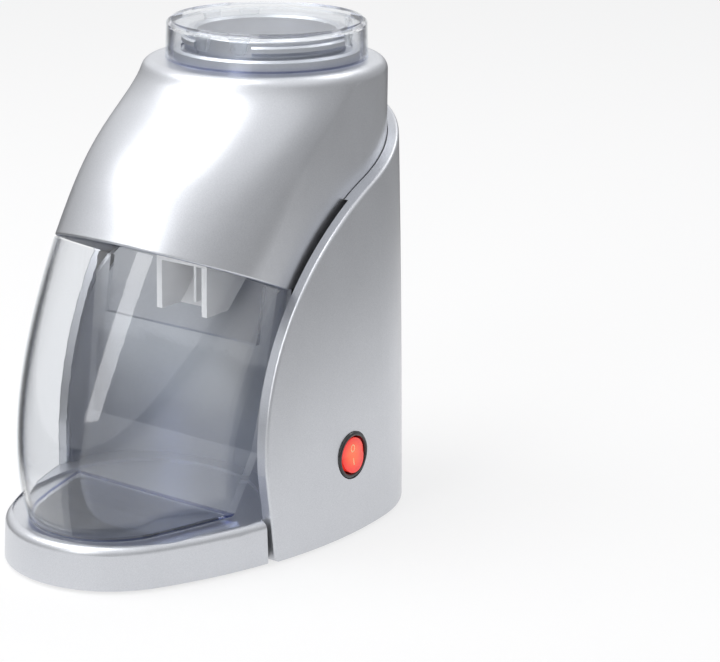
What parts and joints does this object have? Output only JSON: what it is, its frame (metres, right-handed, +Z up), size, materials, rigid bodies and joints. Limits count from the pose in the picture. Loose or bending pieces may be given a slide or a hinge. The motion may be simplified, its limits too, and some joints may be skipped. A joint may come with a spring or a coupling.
{
  "type": "electric ice crusher",
  "caption": "Countertop electric ice crusher with a domed housing, clear feed lid, clear slide-out catch bowl, side rocker switch and geared blade shaft.",
  "frame": {"origin": "centre of the bounding box in plan, on the table under the feet", "axes": "+Z up, front (bowl side) towards -Y, rocker switch on +X"},
  "size_m": [0.1506, 0.2326, 0.2406],
  "materials": {
    "silver": "satin metallic",
    "dark_plastic": "moulded",
    "grey_plastic": "moulded",
    "clear": "clear moulded",
    "rubber": "matt",
    "screw_steel": "plated",
    "blade_steel": "stamped stainless",
    "shaft_steel": "ground",
    "bronze": "sintered",
    "motor_steel": "drawn, plated",
    "motor_plastic": "moulded",
    "brass": "cut",
    "nylon": "moulded nylon",
    "board": "circuit board",
    "black": "polished",
    "red": "translucent red"
  },
  "bodies": {
    "housing": {"rear_housing": "silver", "head_housing": "silver", "chamber_liner": "silver", "chamber_roof": "silver", "base_plinth": "silver", "feed_neck": "silver", "bottom_plate": "dark_plastic", "gearbox_plate": "dark_plastic", "gearbox_cover": "dark_plastic", "crusher_chamber": "grey_plastic", "ice_chute": "grey_plastic", "rubber_feet": "rubber", "cord_gland": "rubber", "base_screws": "screw_steel", "gearbox_screws": "screw_steel", "motor_screws": "screw_steel", "fixed_blades": "blade_steel", "compound_pin": "shaft_steel", "shaft_bushes": "bronze", "motor_can": "motor_steel", "motor_end_cap": "motor_plastic", "rectifier_board": "board", "switch_body": "black"},
    "lid": {"lid": "clear"},
    "bowl": {"ice_bowl": "clear"},
    "rocker_cap": {"rocker": "red"},
    "crusher": {"crusher_shaft": "shaft_steel", "crusher_blades": "blade_steel", "shaft_spacers": "shaft_steel", "crusher_gear": "nylon"},
    "compound": {"compound_gear": "nylon"},
    "motor_rotor": {"motor_shaft": "shaft_steel", "motor_pinion": "brass"}
  },
  "joints": [
    {"name": "lid_lift", "type": "slide", "parent": "housing", "child": "lid", "axis": [0, 0, 1], "range_m": [0, 0.045]},
    {"name": "bowl_slide", "type": "slide", "parent": "housing", "child": "bowl", "axis": [0, -0.9219, 0.3875], "range_m": [0, 0.11]},
    {"name": "rocker_tilt", "type": "hinge", "parent": "housing", "child": "rocker_cap", "pos_m": [0.0707, 0.0247, 0.0405], "axis": [0, 1, 0], "range_deg": [0, 10]},
    {"name": "crusher_spin", "type": "hinge", "parent": "housing", "child": "crusher", "pos_m": [0, 0.028, 0.164], "axis": [1, 0, 0], "continuous": true},
    {"name": "compound_spin", "type": "hinge", "parent": "housing", "child": "compound", "pos_m": [-0.04, 0.05419, 0.13278], "axis": [1, 0, 0], "continuous": true},
    {"name": "motor_spin", "type": "hinge", "parent": "housing", "child": "motor_rotor", "pos_m": [-0.04, 0.06571, 0.10809], "axis": [1, 0, 0], "continuous": true}
  ],
  "couplings": [
    {"joint": "compound_spin", "follows": "crusher_spin", "ratio": -2.8571},
    {"joint": "motor_spin", "follows": "crusher_spin", "ratio": 10}
  ]
}
